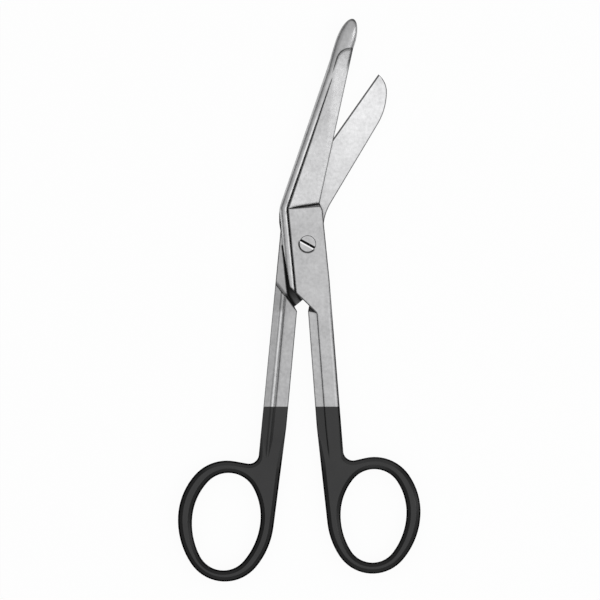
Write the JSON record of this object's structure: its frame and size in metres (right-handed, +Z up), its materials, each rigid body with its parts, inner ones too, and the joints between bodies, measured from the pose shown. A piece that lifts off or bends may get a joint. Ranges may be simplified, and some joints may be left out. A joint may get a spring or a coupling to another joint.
{
  "type": "bandage scissors",
  "caption": "Angled steel bandage scissors: a long blade with a blunt probe tip over a shorter blade, lap joint with a flush screw, black-coated handles with oval finger rings.",
  "frame": {"origin": "on the pivot axis, in the plane of the joint's underside on which the scissors lie", "axes": "+Y towards the blade tips, +X towards the right ring, +Z up out of the face with the screw head"},
  "size_m": [0.0795, 0.1846, 0.0068],
  "materials": {
    "instrument_steel": "satin ground steel, with a black coating on the handles below the middle of the shanks",
    "screw_steel": "satin turned steel, ground flush with the joint"
  },
  "bodies": {
    "lower": {"lower_half": "instrument_steel", "pivot_screw": "screw_steel"},
    "upper": {"upper_half": "instrument_steel"}
  },
  "joints": [
    {"name": "pivot", "type": "hinge", "parent": "lower", "child": "upper", "pos_m": [0, 0, 0.00342], "axis": [0, 0, 1], "range_deg": [-9, 50]}
  ]
}
